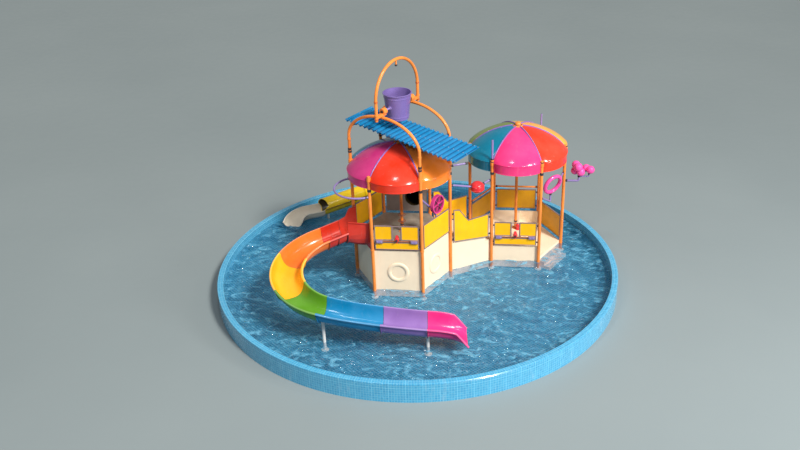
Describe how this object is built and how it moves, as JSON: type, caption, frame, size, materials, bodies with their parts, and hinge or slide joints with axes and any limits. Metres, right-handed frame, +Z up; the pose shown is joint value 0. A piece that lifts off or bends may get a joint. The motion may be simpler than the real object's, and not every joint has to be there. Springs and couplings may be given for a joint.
{
  "type": "water slide tower",
  "caption": "Round splash pool with domed play towers on a bridge, an open curved flume, a closed tube slide, a tipping bucket over a splash roof and spray toys.",
  "frame": {"origin": "on the ground under the middle of the round pool", "axes": "+Z up; the towers' front sides are parallel to X and face -Y; the bridge runs from the main tower 30 degrees left of +X"},
  "size_m": [15, 15, 8.785],
  "materials": {
    "pool": "small glazed pale blue tiles",
    "post": "glossy orange paint on round tube",
    "base": "cream moulded panels, satin",
    "barrier": "yellow panels in grey brown frames",
    "dome": "glossy moulded petals in pink, red and orange",
    "dome_blue": "glossy moulded petals in blue, pink, red and green",
    "flume_red": "glossy red moulding",
    "flume_orange": "glossy orange moulding",
    "flume_yellow": "glossy yellow moulding",
    "flume_green": "glossy green moulding",
    "flume_blue": "glossy blue moulding",
    "flume_purple": "glossy purple moulding",
    "flume_pink": "glossy pink moulding",
    "support": "white painted tube",
    "tube": "glossy yellow moulding",
    "runout": "glossy cream moulding",
    "roof": "blue corrugated sheet",
    "bucket": "purple moulding",
    "toy_pink": "glossy pink",
    "toy_red": "glossy red ball on a purple pipe",
    "pipe": "glossy purple paint on round tube"
  },
  "bodies": {
    "tower": {"pool_floor": "pool", "pool_wall": "pool", "main_post_1": "post", "main_post_2": "post", "main_post_3": "post", "main_post_4": "post", "main_post_5": "post", "main_post_6": "post", "second_post_1": "post", "second_post_2": "post", "second_post_3": "post", "second_post_4": "post", "second_post_5": "post", "second_post_6": "post", "main_column": "post", "second_column": "post", "arch_front": "post", "arch_rear": "post", "bucket_hoop": "post", "second_rail_back": "post", "second_rail_left": "post", "main_base": "base", "second_base": "base", "bridge_base": "base", "entry_steps": "base", "main_play_barrier": "barrier", "main_barrier_right": "barrier", "main_barrier_left": "barrier", "main_barrier_back": "barrier", "second_play_barrier": "barrier", "second_barrier_right": "barrier", "second_barrier_back": "barrier", "second_barrier_left": "barrier", "bridge_barrier_front": "barrier", "bridge_barrier_back": "barrier", "main_dome": "dome", "second_dome": "dome_blue", "flume_red": "flume_red", "slide_entry": "flume_red", "flume_orange": "flume_orange", "flume_yellow": "flume_yellow", "flume_green": "flume_green", "flume_blue": "flume_blue", "flume_purple": "flume_purple", "flume_pink": "flume_pink", "flume_support_1": "support", "flume_support_2": "support", "tube_support_1": "support", "tube_support_2": "support", "tube_slide": "tube", "tube_runout": "runout", "splash_roof": "roof", "ring_spray": "toy_pink", "ball_pipe": "toy_red", "wheel_bracket": "pipe", "flower_spray": "pipe", "half_ring_pipe": "pipe", "spray_arm": "pipe"},
    "bucket": {"bucket": "bucket"},
    "wheel": {"water_wheel": "toy_pink"}
  },
  "joints": [
    {"name": "bucket_tip", "type": "hinge", "parent": "tower", "child": "bucket", "pos_m": [-0.49, -0.01, 7.1], "axis": [0.5, 0.866, 0], "range_deg": [0, 105]},
    {"name": "wheel_spin", "type": "hinge", "parent": "tower", "child": "wheel", "pos_m": [0.905, -0.7115, 3.59], "axis": [0.866, -0.5, 0], "continuous": true}
  ]
}
